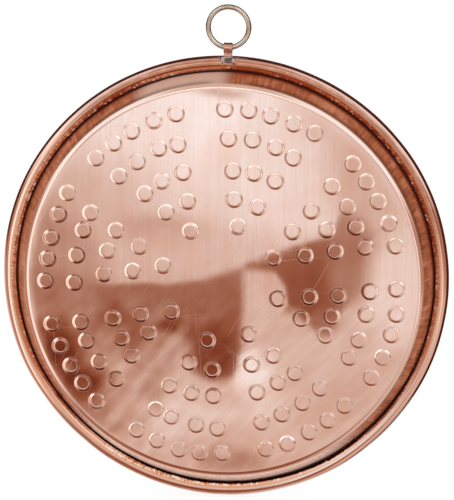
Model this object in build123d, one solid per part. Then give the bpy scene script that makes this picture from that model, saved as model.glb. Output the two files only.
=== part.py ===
from build123d import *
import os
from math import acos, asin, atan2, cos, degrees, hypot, radians, sin, sqrt

# Shallow round copper baking pan with a wired rim and a loose hanging ring.
# Frame: +Z up with the pan hanging from its ring, +Y along the pan's axis out
# of its mouth (the underside faces -Y), +X to the right seen from the
# underside. Origin: centre of the pan's inside floor. Millimetres and degrees.

# ---------------------------------------------------------------- dimensions
PAN_R = 140.0            # outside radius of the rolled rim
SHEET = 1.1              # copper sheet thickness
BASE_R = 121.0           # radius of the flat of the base
SHOULDER_R = 5.0         # outside radius of the round between base and wall
RIM_HEIGHT = 14.0        # outside of the base to the middle of the rolled rim
BEAD_R = 4.5             # outside radius of the roll's section
LIP_OPEN = 58.6          # how far short of the wall the lip stops, degrees round the wire

WIRE_CLEAR = 0.02        # between the rim wire and the sheet rolled round it
WIRE_JOINT = 0.2         # open butt joint of the rim wire, degrees of the rim

MARK_H = 0.6             # height of a punch mark, and depth of its dent inside
MARK_TOP_R = 4.25        # radius of the mark's flat
MARK_FOOT_R = 5.35       # radius of the mark's foot
DENT_INSET = 0.3         # how much smaller in radius the dent is than the mark
MARK_OVERLAP = 0.3       # how far both cones run past the sheet's face for the booleans

STRAP_W = 5.3            # width of the hanger strap
STRAP_T = 1.06           # its thickness
STRAP_GAP = 0.10         # between its two legs
EYE_R = 2.0              # inside radius of the strap's eye
EYE_UP = 9.5             # from the middle of the roll to the middle of the eye
NECK_R = 1.2             # centre-line bends from the legs to the eye and the rim wire
FRONT_TAIL = 147.0       # how far the front (-Y) leg wraps the rim wire, degrees
BACK_TAIL = 75.0         # how far the back (+Y) leg wraps it
PUNCH_R = 0.8            # ball of the centre-punch mark on the strap's neck
PUNCH_OUT = 0.5          # how far that ball's middle stands off the neck

NOTCH_SIDE = 0.25        # clearance each side of the strap in the roll's notch
NOTCH_PAST_LIP = 6.0     # how far the notch cutter runs past the lip, degrees
NOTCH_PAST_TAIL = 3.0    # and past the end of the back leg
NOTCH_UNDER = 0.2        # how far it reaches inside the rolled sheet
NOTCH_OVER = 0.3         # and outside it

SOLDER_T = 0.42          # thickness of the solder patch on the roll
SOLDER_CLEAR = 0.02      # between the patch and the roll
SOLDER_W = 10.8          # its width along the rim
SOLDER_FROM = 28.0       # its extent round the roll, degrees from straight out towards -Y
SOLDER_TO = 82.0
SOLDER_TAPER = 3.0       # how far its outside face stops short at each end, degrees

RING_R = 12.4            # hanging ring, radius of the wire's centre line
RING_WIRE_R = 1.6        # radius of its wire

# Punch marks: eight groups of fifteen in rows of five, four, three, two and
# one. Each pair is (radius, angle from +X towards +Z in degrees), set by hand
# around a nominal pitch of 18.2 mm between rows and 45 degrees between groups.
MARKS = [
    # upper left
    [(109.9, 136.1), (109.7, 128.5), (109.7, 121.4), (109.6, 113.4), (109.4, 105.8),
     (92.1, 134.7), (91.9, 125.6), (92.8, 115.8), (90.8, 108.3),
     (73.4, 131.4), (73.9, 121.1), (73.5, 110.0),
     (56.3, 128.8), (55.7, 113.3),
     (38.2, 121.4)],
    # upper right
    [(109.0, 90.0), (109.7, 82.3), (109.5, 75.1), (109.9, 67.3), (110.6, 60.1),
     (90.9, 88.4), (92.2, 79.2), (92.1, 69.9), (90.9, 62.2),
     (71.3, 85.5), (72.5, 75.1), (72.9, 64.2),
     (53.8, 82.8), (53.5, 66.5),
     (37.7, 75.7)],
    # right, above the middle
    [(110.7, 44.7), (110.0, 37.6), (109.7, 30.3), (110.1, 22.4), (109.9, 14.8),
     (92.0, 43.7), (91.9, 33.9), (90.5, 25.5), (91.7, 16.9),
     (72.4, 41.4), (73.7, 29.7), (73.2, 18.6),
     (55.2, 38.7), (54.8, 21.5),
     (36.1, 29.5)],
    # right, below the middle
    [(107.8, 0.6), (109.3, 352.2), (109.2, 345.2), (109.3, 337.1), (109.4, 329.4),
     (91.5, 359.3), (91.1, 350.1), (91.5, 339.5), (91.1, 331.5),
     (72.3, 356.4), (70.9, 345.5), (71.5, 335.2),
     (54.8, 353.7), (53.5, 338.1),
     (35.8, 347.2)],
    # lower right
    [(108.0, 316.4), (108.4, 308.8), (108.5, 301.3), (109.6, 293.1), (109.0, 285.7),
     (89.5, 314.4), (90.3, 305.1), (90.8, 295.6), (91.6, 286.8),
     (71.9, 310.4), (71.4, 300.5), (72.2, 288.8),
     (55.2, 306.8), (54.3, 291.1),
     (35.8, 299.1)],
    # lower left
    [(108.9, 271.1), (110.1, 263.6), (110.8, 256.7), (109.8, 249.0), (109.6, 241.5),
     (93.1, 269.3), (92.5, 260.9), (92.0, 250.6), (91.5, 243.9),
     (72.1, 266.7), (72.8, 255.7), (73.7, 244.3),
     (55.3, 264.7), (54.7, 248.6),
     (37.3, 256.8)],
    # left, below the middle
    [(110.6, 225.3), (110.0, 217.8), (109.9, 210.8), (110.2, 203.4), (110.6, 195.6),
     (91.4, 224.2), (93.1, 214.8), (93.4, 205.2), (92.5, 197.5),
     (73.7, 220.6), (72.9, 210.7), (72.4, 199.9),
     (56.0, 215.7), (55.0, 202.6),
     (36.5, 210.8)],
    # left, above the middle
    [(110.6, 181.2), (109.8, 173.8), (109.9, 166.7), (110.0, 158.6), (110.7, 150.9),
     (92.3, 181.7), (92.1, 170.8), (92.2, 160.5), (92.3, 153.0),
     (73.8, 177.3), (73.9, 165.7), (73.3, 154.7),
     (55.9, 173.8), (56.1, 157.3),
     (38.2, 164.5)],
]

# ------------------------------------------------------------------- derived
# Section points are (radius from the pan's axis, place along the axis).
BASE_Y = -SHEET                                  # outside of the base
BEAD_U = PAN_R - BEAD_R                          # radius of the rim wire's centre line
BEAD_Y = BASE_Y + RIM_HEIGHT                     # its place along the axis
BEAD = (BEAD_U, BEAD_Y)
SHOULDER = (BASE_R, BASE_Y + SHOULDER_R)         # centre of the shoulder's round
ROLL_IN = BEAD_R - SHEET                         # inside radius of the roll

# The wall's outside is the straight line that touches the shoulder's round and
# the wire space of the roll; FLARE is its lean out from the pan's axis.
_across, _along = BEAD[0] - SHOULDER[0], BEAD[1] - SHOULDER[1]
FLARE = degrees(
    acos((SHOULDER_R + ROLL_IN) / hypot(_across, _along)) - atan2(_along, _across)
)
ROLL_START = 180.0 - FLARE                       # where the roll leaves the wall
ROLL_END = ROLL_START + LIP_OPEN - 360.0         # its lip

EYE_Z = BEAD_U + EYE_UP                          # middle of the strap's eye


# ------------------------------------------------------------------- helpers
def polar(center, radius, angle):
    """Point at an angle from the first axis towards the second."""
    return (
        center[0] + radius * cos(radians(angle)),
        center[1] + radius * sin(radians(angle)),
    )


def arc(center, radius, start, end):
    return ThreePointArc(*(polar(center, radius, a) for a in (start, (start + end) / 2, end)))


def rim_sector(inner_r, outer_r, start, end, width, taper=0.0):
    """A band round the roll's section, swept along the rim and centred on the
    hanger. The outer arc stops short by the taper angle at each end."""
    outer_start, outer_end = start + taper, end - taper
    face = make_face([
        arc(BEAD, inner_r, start, end),
        Line(polar(BEAD, inner_r, end), polar(BEAD, outer_r, outer_end)),
        arc(BEAD, outer_r, outer_end, outer_start),
        Line(polar(BEAD, outer_r, outer_start), polar(BEAD, inner_r, start)),
    ])
    # The sweep starts at +X and turns towards -Z; a quarter turn back takes
    # +X to the top, and half the sweep more centres it there.
    half_sweep = width / 2
    return Rot(0, -90 - half_sweep, 0) * revolve(face, Axis.Y, width)


# ----------------------------------------------------------------- pan shell
def plain_shell():
    """One sheet: base, rounded shoulder, flared wall, and the edge rolled
    outwards round the rim wire until its lip nears the outside of the wall."""
    shoulder_in = SHOULDER_R - SHEET
    base_out, base_in = (BASE_R, BASE_Y), (BASE_R, 0)
    axis_out, axis_in = (0, BASE_Y), (0, 0)
    section = [
        Line(axis_out, base_out),
        arc(SHOULDER, SHOULDER_R, -90, -FLARE),
        Line(polar(SHOULDER, SHOULDER_R, -FLARE), polar(BEAD, ROLL_IN, ROLL_START)),
        arc(BEAD, ROLL_IN, ROLL_START, ROLL_END),
        Line(polar(BEAD, ROLL_IN, ROLL_END), polar(BEAD, BEAD_R, ROLL_END)),
        arc(BEAD, BEAD_R, ROLL_END, ROLL_START),
        Line(polar(BEAD, BEAD_R, ROLL_START), polar(SHOULDER, shoulder_in, -FLARE)),
        arc(SHOULDER, shoulder_in, -FLARE, -90),
        Line(base_in, axis_in),
        Line(axis_in, axis_out),
    ]
    return revolve(make_face(section), Axis.Y, 360)


def mark_cones(face_y, foot_r, top_r):
    """A cone at every punch mark, narrowing towards -Y from the face at face_y."""
    slope = (foot_r - top_r) / MARK_H
    cones = []
    for group in MARKS:
        for radius, angle in group:
            x, z = polar((0, 0), radius, angle)
            down = Plane(
                origin=(x, face_y + MARK_OVERLAP, z), x_dir=(1, 0, 0), z_dir=(0, -1, 0)
            )
            cones.append(Solid.make_cone(
                foot_r + MARK_OVERLAP * slope, top_r, MARK_H + MARK_OVERLAP, down
            ))
    return cones


def make_pan_shell():
    # Each mark is a low flat-topped cone on the underside and a dent inside.
    bosses = mark_cones(BASE_Y, MARK_FOOT_R, MARK_TOP_R)
    dents = mark_cones(0, MARK_FOOT_R - DENT_INSET, MARK_TOP_R - DENT_INSET)
    shell = (plain_shell() + bosses) - dents
    # Notch in the roll for the strap, from the lip to the back leg's end.
    notch = rim_sector(
        ROLL_IN - NOTCH_UNDER,
        BEAD_R + NOTCH_OVER,
        ROLL_END - NOTCH_PAST_LIP,
        BACK_TAIL + NOTCH_PAST_TAIL,
        width=2 * degrees(asin((STRAP_W / 2 + NOTCH_SIDE) / BEAD_U)),
    )
    return shell - notch


# ------------------------------------------------------------------ rim wire
def make_rim_wire():
    """The wire inside the roll, its joint at the bottom, opposite the hanger."""
    wire_face = Pos(*BEAD) * Circle(ROLL_IN - WIRE_CLEAR)
    return Rot(0, 90, 0) * revolve(wire_face, Axis.Y, 360 - WIRE_JOINT)


# -------------------------------------------------------------- hanger strap
def make_hanger_strap():
    """A strip bent over the hanging ring. Both legs run down together, part
    round the rim wire, and lie flush in the notch. Its section is drawn in
    (Y, Z); angles run from +Z towards -Y."""
    half_t = STRAP_T / 2
    leg = STRAP_GAP / 2 + half_t         # centre line of a leg from the middle
    wrap_r = ROLL_IN + half_t            # centre line round the rim wire
    eye_r = EYE_R + half_t               # centre line round the eye
    bend = leg + NECK_R                  # centre of a neck bend from the middle
    low_z = BEAD_U + sqrt((wrap_r + NECK_R) ** 2 - bend**2)
    high_z = EYE_Z - sqrt((eye_r + NECK_R) ** 2 - bend**2)
    low_angle = degrees(asin(bend / (wrap_r + NECK_R)))
    high_angle = degrees(asin(bend / (eye_r + NECK_R)))
    wire_center, eye_center = (BEAD_Y, BEAD_U), (BEAD_Y, EYE_Z)
    legs = ((1, FRONT_TAIL), (-1, BACK_TAIL))    # (side: 1 is -Y, -1 is +Y; tail)

    def strap_arc(center, radius, start, end):
        return arc(center, radius, start + 90, end + 90)

    def leg_edges(side, offset, tail):
        """One face of a leg from tail to eye, offset from its centre line
        away from the middle."""
        bend_y = BEAD_Y - side * bend
        leg_y = BEAD_Y - side * (leg + offset)
        bend_r = NECK_R - offset
        return [
            strap_arc(wire_center, wrap_r + offset, side * tail, side * low_angle),
            strap_arc((bend_y, low_z), bend_r, side * (180 + low_angle), side * 270),
            Line((leg_y, low_z), (leg_y, high_z)),
            strap_arc((bend_y, high_z), bend_r, side * 270, side * (360 - high_angle)),
        ]

    edges = []
    eye_end = 180 - high_angle
    for offset in (half_t, -half_t):
        for side, tail in legs:
            edges += leg_edges(side, offset, tail)
        edges.append(strap_arc(eye_center, eye_r + offset, eye_end, -eye_end))
    for side, tail in legs:
        tail_angle = side * tail + 90
        edges.append(Line(
            polar(wire_center, wrap_r + half_t, tail_angle),
            polar(wire_center, wrap_r - half_t, tail_angle),
        ))
    face = Plane.YZ * make_face(Wire.combine(edges)[0].edges())
    strap = extrude(face, STRAP_W / 2, both=True)
    punch_y = BEAD_Y - leg - half_t - PUNCH_OUT
    return strap - Pos(0, punch_y, (low_z + high_z) / 2) * Sphere(PUNCH_R)


# -------------------------------------------------------------- strap solder
def make_strap_solder():
    """A thin patch over the front of the roll, across the strap."""
    inner_r = BEAD_R + SOLDER_CLEAR
    return rim_sector(
        inner_r,
        inner_r + SOLDER_T,
        -SOLDER_TO,
        -SOLDER_FROM,
        width=degrees(SOLDER_W / BEAD_U),
        taper=SOLDER_TAPER,
    )


# -------------------------------------------------------------- hanging ring
def make_hanging_ring():
    """The ring stands upright, its wire through the middle of the strap's eye."""
    ring_plane = Plane(
        origin=(0, BEAD_Y, EYE_Z + RING_R), x_dir=(1, 0, 0), z_dir=(0, 1, 0)
    )
    return ring_plane * Torus(RING_R, RING_WIRE_R)


# -------------------------------------------------------------------- export
os.makedirs("parts", exist_ok=True)
for name, shape in {
    "pan_shell": make_pan_shell(),
    "rim_wire": make_rim_wire(),
    "hanger_strap": make_hanger_strap(),
    "strap_solder": make_strap_solder(),
    "hanging_ring": make_hanging_ring(),
}.items():
    export_step(shape, f"parts/{name}.step")
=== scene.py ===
"""A round copper pan with a tinned inside, a rim rolled over a steel wire, eight groups of
marks pressed out of its base, and a brass ring hung from a strap at the top of the rim.

The pan's axis is Y: the underside faces -Y, +Z is up and the hanger is at +Z. Lengths are in
millimetres until a mesh is made: radius u from the axis, y along it, angle th from +X
towards +Z. Angles round the roll run from outward (0) towards +Y.
"""
from collections import namedtuple
from functools import reduce
from math import acos, asin, atan2, cos, degrees, exp, hypot, pi, radians, sin, sqrt, tan

import bpy
import bmesh
import numpy as np
from mathutils import Matrix, Vector
from mathutils.geometry import delaunay_2d_cdt


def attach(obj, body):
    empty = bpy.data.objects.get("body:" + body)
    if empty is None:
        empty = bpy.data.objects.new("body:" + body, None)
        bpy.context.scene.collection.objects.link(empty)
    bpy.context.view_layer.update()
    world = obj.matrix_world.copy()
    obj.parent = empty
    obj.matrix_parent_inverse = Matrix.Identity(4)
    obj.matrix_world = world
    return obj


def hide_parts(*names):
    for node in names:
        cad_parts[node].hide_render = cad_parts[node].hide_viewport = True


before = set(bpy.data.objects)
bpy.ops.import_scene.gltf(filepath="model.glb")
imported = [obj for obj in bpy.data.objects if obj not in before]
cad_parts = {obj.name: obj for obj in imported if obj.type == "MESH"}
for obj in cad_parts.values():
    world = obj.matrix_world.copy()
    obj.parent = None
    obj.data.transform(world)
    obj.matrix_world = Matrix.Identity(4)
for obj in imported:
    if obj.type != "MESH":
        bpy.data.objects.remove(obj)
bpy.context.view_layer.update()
MM = 0.001
scene = bpy.context.scene

# ------------------------------------------------------------------ dimensions
PAN_R = 140.0
SHEET = 1.1                  # thickness
BASE_R = 121.0               # the flat of the base
BASE_Y = -SHEET
SHOULDER_R = 5.0
SHOULDER_Y = BASE_Y + SHOULDER_R
ROLL_R = 4.5
ROLL_INNER_R = ROLL_R - SHEET
ROLL_U = PAN_R - ROLL_R
ROLL_Y = BASE_Y + 14.0
LIP_OPEN = 58.6              # degrees the roll stays open
RIM_WIRE_R = 3.34

# the straight wall is tangent to the shoulder and to the inside of the roll
_du, _dy = ROLL_U - BASE_R, ROLL_Y - SHOULDER_Y
FLARE = degrees(acos((SHOULDER_R + ROLL_INNER_R) / hypot(_du, _dy)) - atan2(_dy, _du))
WALL_NU, WALL_NY = cos(radians(FLARE)), -sin(radians(FLARE))
ROLL_START = 180.0 - FLARE
ROLL_END = ROLL_START + LIP_OPEN - 360.0

STRAP_W, STRAP_T = 5.3, 1.06
STRAP_GAP = 0.10             # between the two legs
EYE_R = 2.0
EYE_Z = ROLL_U + 9.5
NECK_R = 1.2                 # bends between the legs and the round parts
FRONT_TAIL, BACK_TAIL = 147.0, 75.0      # degrees round the roll
RING_R, RING_WIRE_R = 12.4, 1.6

# marks in the base, by group: (radius, degrees)
MARKS = [
    [(109.9, 136.1), (109.7, 128.5), (109.7, 121.4), (109.6, 113.4), (109.4, 105.8),
     (92.1, 134.7), (91.9, 125.6), (92.8, 115.8), (90.8, 108.3),
     (73.4, 131.4), (73.9, 121.1), (73.5, 110.0), (56.3, 128.8), (55.7, 113.3), (38.2, 121.4)],
    [(109.0, 90.0), (109.7, 82.3), (109.5, 75.1), (109.9, 67.3), (110.6, 60.1),
     (90.9, 88.4), (92.2, 79.2), (92.1, 69.9), (90.9, 62.2),
     (71.3, 85.5), (72.5, 75.1), (72.9, 64.2), (53.8, 82.8), (53.5, 66.5), (37.7, 75.7)],
    [(110.7, 44.7), (110.0, 37.6), (109.7, 30.3), (110.1, 22.4), (109.9, 14.8),
     (92.0, 43.7), (91.9, 33.9), (90.5, 25.5), (91.7, 16.9),
     (72.4, 41.4), (73.7, 29.7), (73.2, 18.6), (55.2, 38.7), (54.8, 21.5), (36.1, 29.5)],
    [(107.8, 0.6), (109.3, 352.2), (109.2, 345.2), (109.3, 337.1), (109.4, 329.4),
     (91.5, 359.3), (91.1, 350.1), (91.5, 339.5), (91.1, 331.5),
     (72.3, 356.4), (70.9, 345.5), (71.5, 335.2), (54.8, 353.7), (53.5, 338.1), (35.8, 347.2)],
    [(108.0, 316.4), (108.4, 308.8), (108.5, 301.3), (109.6, 293.1), (109.0, 285.7),
     (89.5, 314.4), (90.3, 305.1), (90.8, 295.6), (91.6, 286.8),
     (71.9, 310.4), (71.4, 300.5), (72.2, 288.8), (55.2, 306.8), (54.3, 291.1), (35.8, 299.1)],
    [(108.9, 271.1), (110.1, 263.6), (110.8, 256.7), (109.8, 249.0), (109.6, 241.5),
     (93.1, 269.3), (92.5, 260.9), (92.0, 250.6), (91.5, 243.9),
     (72.1, 266.7), (72.8, 255.7), (73.7, 244.3), (55.3, 264.7), (54.7, 248.6), (37.3, 256.8)],
    [(110.6, 225.3), (110.0, 217.8), (109.9, 210.8), (110.2, 203.4), (110.6, 195.6),
     (91.4, 224.2), (93.1, 214.8), (93.4, 205.2), (92.5, 197.5),
     (73.7, 220.6), (72.9, 210.7), (72.4, 199.9), (56.0, 215.7), (55.0, 202.6), (36.5, 210.8)],
    [(110.6, 181.2), (109.8, 173.8), (109.9, 166.7), (110.0, 158.6), (110.7, 150.9),
     (92.3, 181.7), (92.1, 170.8), (92.2, 160.5), (92.3, 153.0),
     (73.8, 177.3), (73.9, 165.7), (73.3, 154.7), (55.9, 173.8), (56.1, 157.3), (38.2, 164.5)],
]
# marks struck harder than the rest: (group, index): height
DEEP = {(0, 3): 0.62, (2, 3): 0.72, (2, 8): 0.60, (4, 3): 0.72, (5, 8): 0.58, (6, 0): 0.55,
        (6, 3): 0.66, (7, 3): 0.60, (7, 2): 0.55, (7, 1): 0.52, (3, 3): 0.62, (0, 10): 0.55,
        (1, 14): 0.55, (0, 14): 0.50}
NARROW = {(5, 7), (5, 8)}    # marks whose foot is not widened
FOOT_GROWTH = 1.055

# These go clockwise as seen from -Y: {degrees: value}.
OUT_OF_ROUND = {1: -0.16, 11: -0.32, 23: -0.31, 35: -0.47, 48: -0.38, 60: 0.14, 72: 0.25,
                84: 0.58, 96: 0.54, 108: 0.27, 120: -0.02, 132: -0.50, 144: -0.47, 156: 0.04,
                169: -0.13, 181: -0.12, 193: 0.04, 206: 0.08, 218: -0.06, 230: -0.04, 242: 0.03,
                254: 0.04, 270: 0.03, 282: 0.06, 294: -0.04, 316: -0.02, 328: 0.15, 340: 0.10,
                352: -0.16}
# how far the lip stops short of its nominal place, degrees round the roll
LIP_SHORT = {0: 1.0, 18: 2.0, 32: 6.0, 44: 13.0, 54: 21.0, 61: 24.0, 70: 20.0, 80: 15.0,
             92: 13.0, 108: 9.0, 122: 6.0, 140: 3.0, 165: 2.0, 200: 1.0, 240: 1.0, 262: 0.5,
             275: 0.0, 300: -1.0, 322: 0.0, 345: 1.5}
# how ragged the lip is, degrees round the roll
LIP_RAGGED = {0: 1.4, 20: 1.0, 60: 1.2, 90: 1.2, 120: 1.0, 180: 1.3, 230: 1.6, 255: 0.8,
              272: 0.3, 285: 1.2, 315: 2.6, 340: 2.6, 352: 1.4}
# strength of the crimp marks beside the lip
CRIMP_SIZE = {0: 0.8, 8: 1.1, 20: 0.55, 45: 0.25, 60: 0.25, 80: 0.4, 95: 1.0, 112: 1.0,
              122: 0.45, 150: 0.6, 178: 0.9, 210: 1.0, 238: 1.1, 252: 0.7, 262: 0.45, 275: 0.35,
              296: 0.8, 318: 1.1, 340: 1.0, 352: 1.0}


# --------------------------------------------------------------------- helpers
def wave(th, amps, seed):
    """A smooth periodic wobble of the rim: amps are {turns: millimetres}."""
    random = np.random.default_rng(seed)
    out = np.zeros_like(th)
    for turns, amp in amps.items():
        out += amp * np.cos(turns * th + random.uniform(0, 2 * np.pi))
    return out


def looped(deg, table):
    """Smooth interpolation round the rim of {degrees: value}."""
    keys = sorted(table)
    x = np.array([keys[-1] - 360] + keys + [keys[0] + 360], float)
    v = np.array([table[keys[-1]]] + [table[k] for k in keys] + [table[keys[0]]], float)
    t = np.mod(deg, 360.0)
    i = np.clip(np.searchsorted(x, t, side="right") - 1, 0, len(x) - 2)
    f = (t - x[i]) / (x[i + 1] - x[i])
    f = f * f * (3 - 2 * f)
    return v[i] * (1 - f) + v[i + 1] * f


def smooth(start, end, x):
    """0 at start, 1 at end, eased."""
    t = np.clip((x - start) / (end - start), 0, 1)
    return t * t * (3 - 2 * t)


def new_object(name, verts, faces, materials, slots=None, normals=None, scraped=None):
    """A smooth mesh object from millimetres, one material slot index per face."""
    me = bpy.data.meshes.new(name)
    me.from_pydata([tuple(v) for v in np.asarray(verts, float) * MM], [], faces)
    for material in materials:
        me.materials.append(material)
    if slots is not None:
        me.polygons.foreach_set("material_index", np.asarray(slots, np.int32))
    if normals is not None:
        # kept as an attribute so that they follow their vertices through the clean-up
        at = me.attributes.new("exact", "FLOAT_VECTOR", "POINT")
        at.data.foreach_set("vector", np.asarray(normals, np.float32).ravel())
    if scraped is not None:
        at = me.attributes.new("scraped", "FLOAT", "POINT")
        at.data.foreach_set("value", np.asarray(scraped, np.float32))
    me.validate()
    bm = bmesh.new()
    bm.from_mesh(me)
    bmesh.ops.recalc_face_normals(bm, faces=bm.faces)
    loose = [v for v in bm.verts if not v.link_faces]
    if loose:
        bmesh.ops.delete(bm, geom=loose, context="VERTS")
    bm.to_mesh(me)
    bm.free()
    for p in me.polygons:
        p.use_smooth = True
    me.update()
    if normals is not None:
        # a zero leaves a vertex its own normal
        kept = np.zeros(len(me.vertices) * 3, np.float32)
        me.attributes["exact"].data.foreach_get("vector", kept)
        me.attributes.remove(me.attributes["exact"])
        me.normals_split_custom_set_from_vertices([tuple(n) for n in kept.reshape(-1, 3)])
    ob = bpy.data.objects.new(name, me)
    scene.collection.objects.link(ob)
    return ob


def hand_over(ob, rides, replaces):
    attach(ob, rides)
    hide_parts(replaces)


class Graph:
    """A few short names for building a node tree."""

    def __init__(self, tree):
        self.nodes = tree.nodes
        self.links = tree.links

    def node(self, kind, **settings):
        node = self.nodes.new(kind)
        for key, value in settings.items():
            setattr(node, key, value)
        return node

    def find(self, kind):
        return next(n for n in self.nodes if n.type == kind)

    def put(self, socket, value):
        """Links a socket, or sets its number or its rgb colour."""
        if isinstance(value, bpy.types.NodeSocket):
            self.links.new(value, socket)
        elif isinstance(value, tuple):
            socket.default_value = (*value, 1.0)
        else:
            socket.default_value = value

    def math(self, operation, *values, clamp=False):
        node = self.node("ShaderNodeMath", operation=operation, use_clamp=clamp)
        for socket, value in zip(node.inputs, values):
            self.put(socket, value)
        return node.outputs[0]

    def chain(self, operation, values):
        return reduce(lambda a, b: self.math(operation, a, b), values)

    def mul(self, *values):
        return self.chain("MULTIPLY", values)

    def add(self, *values):
        return self.chain("ADD", values)

    def maximum(self, *values):
        return self.chain("MAXIMUM", values)

    def sub(self, a, b):
        return self.math("SUBTRACT", a, b)

    def div(self, a, b):
        return self.math("DIVIDE", a, b)

    def invert(self, value):
        return self.sub(1.0, value)

    def length(self, a, b):
        return self.math("SQRT", self.add(self.mul(a, a), self.mul(b, b)))

    def oval_distance(self, a, b, centre, radii):
        """Distance from centre, 1 on the oval of these radii."""
        squares = [self.math("POWER", self.div(self.sub(value, c), r), 2.0)
                   for value, c, r in zip((a, b), centre, radii)]
        return self.math("SQRT", self.add(*squares))

    def ramp(self, value, start, end, low=0.0, high=1.0, kind="SMOOTHSTEP"):
        """low at start, high at end."""
        node = self.node("ShaderNodeMapRange", interpolation_type=kind, clamp=True)
        names = ("Value", "From Min", "From Max", "To Min", "To Max")
        for name, v in zip(names, (value, start, end, low, high)):
            self.put(node.inputs[name], v)
        return node.outputs["Result"]

    def line(self, value, start, end, low, high):
        return self.ramp(value, start, end, low, high, "LINEAR")

    def window(self, value, first, second):
        """The product of two ramps, each (where it is 0, where it is 1)."""
        return self.mul(self.ramp(value, *first), self.ramp(value, *second))

    def past(self, start, end):
        """A ramp on the angle round the pan, in degrees."""
        return self.ramp(self.angle, radians(start), radians(end))

    def sector(self, first, second):
        return self.mul(self.past(*first), self.past(*second))

    def mix(self, kind, sockets, base, value, mask, amount):
        if amount != 1.0:
            mask = self.mul(mask, amount)
        node = self.node("ShaderNodeMix", data_type=kind)
        for socket, v in zip(sockets, (mask, base, value)):
            self.put(node.inputs[socket], v)
        return node

    def over(self, base, value, mask, amount=1.0):
        """The number value laid over base where mask is 1."""
        return self.mix("FLOAT", (0, 2, 3), base, value, mask, amount).outputs[0]

    def paint(self, base, colour, mask, amount=1.0):
        """The same with colours."""
        return self.mix("RGBA", (0, 6, 7), base, colour, mask, amount).outputs[2]

    def combine(self, x, y, z):
        node = self.node("ShaderNodeCombineXYZ")
        for socket, value in zip(node.inputs, (x, y, z)):
            self.put(socket, value)
        return node.outputs[0]

    def split(self, vector):
        node = self.node("ShaderNodeSeparateXYZ")
        self.put(node.inputs[0], vector)
        return node.outputs

    def noise(self, vector, scale, detail, rough, distortion=0.0):
        node = self.node("ShaderNodeTexNoise")
        names = ("Vector", "Scale", "Detail", "Roughness", "Distortion")
        for name, value in zip(names, (vector, scale, detail, rough, distortion)):
            self.put(node.inputs[name], value)
        return node.outputs[0]

    def stretched(self, axes, detail, rough, distortion=0.0):
        """Noise on three axes of its own, each a value or (value, cells per unit)."""
        axes = [self.mul(*axis) if isinstance(axis, tuple) else axis for axis in axes]
        return self.noise(self.combine(*axes), 1.0, detail, rough, distortion)

    def colours(self, value, stops):
        """A colour ramp of (position, rgb)."""
        node = self.node("ShaderNodeValToRGB")
        elements = node.color_ramp.elements
        while len(elements) > 1:
            elements.remove(elements[-1])
        elements[0].position, elements[0].color = stops[0][0], (*stops[0][1], 1)
        for position, colour in stops[1:]:
            elements.new(position).color = (*colour, 1)
        self.put(node.inputs[0], value)
        return node.outputs[0]


# ------------------------------------------------------------------- materials
POLISHED = (0.945, 0.745, 0.665)    # polished copper, linear


class Surface(Graph):
    """A new material's graph, with its place on the object in millimetres."""

    def __init__(self, name, polar=True):
        self.material = bpy.data.materials.new(name)
        self.material.use_nodes = True
        super().__init__(self.material.node_tree)
        self.bsdf = self.find("BSDF_PRINCIPLED")
        place = self.node("ShaderNodeTexCoord").outputs["Object"]
        self.x, self.y, self.z = [self.mul(axis, 1000.0) for axis in self.split(place)]
        self.position = self.combine(self.x, self.y, self.z)
        if polar:
            self.radius = self.length(self.x, self.z)
            self.angle = self.math("ARCTAN2", self.z, self.x)

    def finish(self, colour, metallic, roughness, height):
        """Sets the shader; height is relief in millimetres."""
        bump = self.node("ShaderNodeBump")
        bump.inputs["Strength"].default_value = 1.0
        bump.inputs["Distance"].default_value = MM
        self.put(bump.inputs["Height"], height)
        for name, value in (("Base Color", colour), ("Metallic", metallic),
                            ("Roughness", roughness), ("Normal", bump.outputs[0])):
            self.put(self.bsdf.inputs[name], value)
        return self.material


def scratches(g, turn, across, along, start, end, seed):
    """Sparse straight scratches: noise stretched along the direction turn, then cut."""
    c, s = cos(radians(turn)), sin(radians(turn))
    length = g.add(g.mul(g.x, c), g.mul(g.z, s))
    width = g.sub(g.mul(g.z, c), g.mul(g.x, s))
    noise = g.stretched(((length, 1.0 / along), (width, 1.0 / across), seed), 2.0, 0.55)
    return g.ramp(noise, start, end)


def crevice_mask(g):
    """The inside of the roll, and the wall tucked under the lip, where painted shade goes."""
    roll_radius = g.length(g.sub(g.radius, ROLL_U), g.sub(g.y, ROLL_Y))
    inside = g.ramp(roll_radius, 4.15, 3.75)
    shaded_wall_under_lip = g.mul(g.ramp(g.y, 9.9, 10.6), g.ramp(g.radius, 133.2, 132.2))
    return g.maximum(inside, g.mul(shaded_wall_under_lip, g.ramp(roll_radius, 4.4, 4.6)))


# patches of the base where the marks' sides are given painted shade: x, z, radius in x, radius in z
SHADED_SIDE_PATCHES = ((-94, -38, 42, 52), (-40, -24, 62, 24), (-4, -36, 22, 34),
                (60, 4, 34, 28), (78, 26, 18, 20), (-104, 20, 24, 28))


def mark_sides(g, on_base):
    """Masks: the sides of the marks, the patches where they are shaded, and the painted shade on the
    sides.
    """
    normal = g.split(g.node("ShaderNodeNewGeometry").outputs["Normal"])
    slope = g.length(normal[0], normal[2])
    side = g.mul(g.ramp(slope, 0.02, 0.09), on_base)
    facing = g.div(normal[0], g.maximum(slope, 0.02))
    patches = g.maximum(*[g.ramp(g.oval_distance(g.x, g.z, (x, z), (rx, rz)), 1.15, 0.85)
                          for x, z, rx, rz in SHADED_SIDE_PATCHES])
    # sides facing +X are left out of the painted shade as the lit side, but those facing -X at the
    # far left
    lit_facing = g.over(g.ramp(facing, 0.45, 0.85), g.ramp(facing, -0.2, -0.75),
                  mask=g.ramp(g.x, -74.0, -82.0))
    side_shade = g.mul(side, patches, g.invert(g.mul(lit_facing, 0.9)))
    return side, patches, side_shade


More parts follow.
